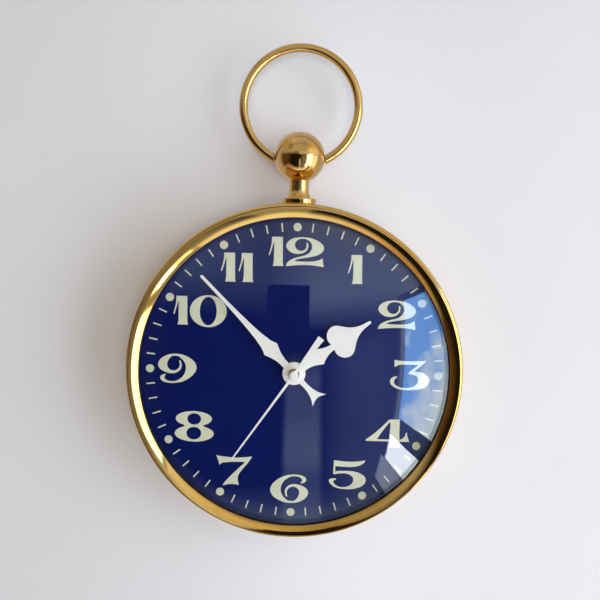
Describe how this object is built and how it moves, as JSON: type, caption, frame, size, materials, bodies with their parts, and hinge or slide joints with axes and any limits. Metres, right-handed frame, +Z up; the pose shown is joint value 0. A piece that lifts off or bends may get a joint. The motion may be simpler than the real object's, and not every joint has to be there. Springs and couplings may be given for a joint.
{
  "type": "wall clock",
  "caption": "Round brass wall clock in pocket-watch form: domed glass, blue dial with broad figures, three hands on a battery movement, and a swinging hanging ring on a ball.",
  "frame": {"origin": "on the axis of the hands, in the plane where the back rim of the case meets the wall", "axes": "+Z up towards the hanging ring, +Y into the wall, dial facing -Y, +X to the right of someone reading the dial"},
  "size_m": [0.1906, 0.0457, 0.2805],
  "materials": {
    "case_brass": "polished",
    "fitting_brass": "satin",
    "clear_glass": "clear",
    "black_rubber": "matt",
    "black_plastic": "matt",
    "dial_blue": "gloss",
    "print_cream": "matt",
    "hand_white": "satin",
    "back_black": "satin",
    "bright_steel": "bright",
    "wheel_plastic": "satin",
    "magnet_grey": "satin",
    "copper_wire": "satin",
    "board_green": "satin",
    "battery_jacket": "satin"
  },
  "bodies": {
    "case": {"case_drum": "case_brass", "bezel": "case_brass", "pendant_collar": "case_brass", "pendant_neck": "case_brass", "pendant_ball": "case_brass", "dial_washer": "fitting_brass", "dial_nut": "fitting_brass", "glass_dome": "clear_glass", "glass_gasket": "black_rubber", "cushion_washer": "black_rubber", "spacer_ring": "black_plastic", "movement_case": "black_plastic", "movement_lid": "black_plastic", "chip": "black_plastic", "dial_plate": "dial_blue", "dial_figures": "print_cream", "hour_dots": "print_cream", "minute_marks": "print_cream", "back_cover": "back_black", "back_screws": "bright_steel", "hanger_plate": "bright_steel", "hanger_rivets": "bright_steel", "pendant_stud": "bright_steel", "pendant_washer": "bright_steel", "pendant_nut": "bright_steel", "lid_screws": "bright_steel", "minute_stud": "bright_steel", "stator": "bright_steel", "coil_core": "bright_steel", "quartz_can": "bright_steel", "contact_plus": "bright_steel", "contact_minus": "bright_steel", "coil": "copper_wire", "circuit_board": "board_green"},
    "seconds": {"seconds_hand": "hand_white", "seconds_arbor": "bright_steel", "seconds_wheel": "wheel_plastic"},
    "third": {"third_arbor": "bright_steel", "third_wheel": "wheel_plastic"},
    "minute": {"minute_hand": "hand_white", "minute_hand_nut": "fitting_brass", "minute_pipe": "fitting_brass", "centre_wheel": "wheel_plastic"},
    "motion": {"minute_wheel": "wheel_plastic"},
    "hour": {"hour_hand": "hand_white", "hour_pipe": "fitting_brass", "hour_wheel": "wheel_plastic"},
    "setting": {"setting_knob": "black_plastic", "setting_pinion": "wheel_plastic"},
    "intermediate": {"inter_arbor": "bright_steel", "inter_wheel": "wheel_plastic"},
    "stepper": {"rotor": "magnet_grey", "rotor_pinion": "wheel_plastic"},
    "bow": {"bow_ring": "case_brass"},
    "cell": {"battery": "battery_jacket"}
  },
  "joints": [
    {"name": "seconds_turn", "type": "hinge", "parent": "case", "child": "seconds", "pos_m": [0, 0, 0], "axis": [0, 1, 0], "continuous": true},
    {"name": "third_turn", "type": "hinge", "parent": "case", "child": "third", "pos_m": [-0.01184, 0, -0.00431], "axis": [0, 1, 0], "continuous": true},
    {"name": "minute_turn", "type": "hinge", "parent": "case", "child": "minute", "pos_m": [0, 0, 0], "axis": [0, 1, 0], "continuous": true},
    {"name": "motion_turn", "type": "hinge", "parent": "case", "child": "motion", "pos_m": [0.00766, 0, 0.00643], "axis": [0, 1, 0], "continuous": true},
    {"name": "hour_turn", "type": "hinge", "parent": "case", "child": "hour", "pos_m": [0, 0, 0], "axis": [0, 1, 0], "continuous": true},
    {"name": "setting_turn", "type": "hinge", "parent": "case", "child": "setting", "pos_m": [0.01706, 0, 0.00301], "axis": [0, 1, 0], "continuous": true},
    {"name": "intermediate_turn", "type": "hinge", "parent": "case", "child": "intermediate", "pos_m": [-0.00219, 0, 0.01241], "axis": [0, 1, 0], "continuous": true},
    {"name": "stepper_turn", "type": "hinge", "parent": "case", "child": "stepper", "pos_m": [-0.01068, 0, 0.01731], "axis": [0, 1, 0], "continuous": true},
    {"name": "bow_swing", "type": "hinge", "parent": "case", "child": "bow", "pos_m": [0, -0.015, 0.1211], "axis": [1, 0, 0], "range_deg": [-145, 143]},
    {"name": "cell_out", "type": "slide", "parent": "case", "child": "cell", "axis": [0, 1, 0], "range_m": [0, 0.022]}
  ],
  "couplings": [
    {"joint": "third_turn", "follows": "seconds_turn", "ratio": -0.125},
    {"joint": "minute_turn", "follows": "seconds_turn", "ratio": 0.016667},
    {"joint": "motion_turn", "follows": "seconds_turn", "ratio": -0.0055556},
    {"joint": "hour_turn", "follows": "seconds_turn", "ratio": 0.0013889},
    {"joint": "setting_turn", "follows": "seconds_turn", "ratio": 0.016667},
    {"joint": "intermediate_turn", "follows": "seconds_turn", "ratio": -5},
    {"joint": "stepper_turn", "follows": "seconds_turn", "ratio": 30}
  ]
}
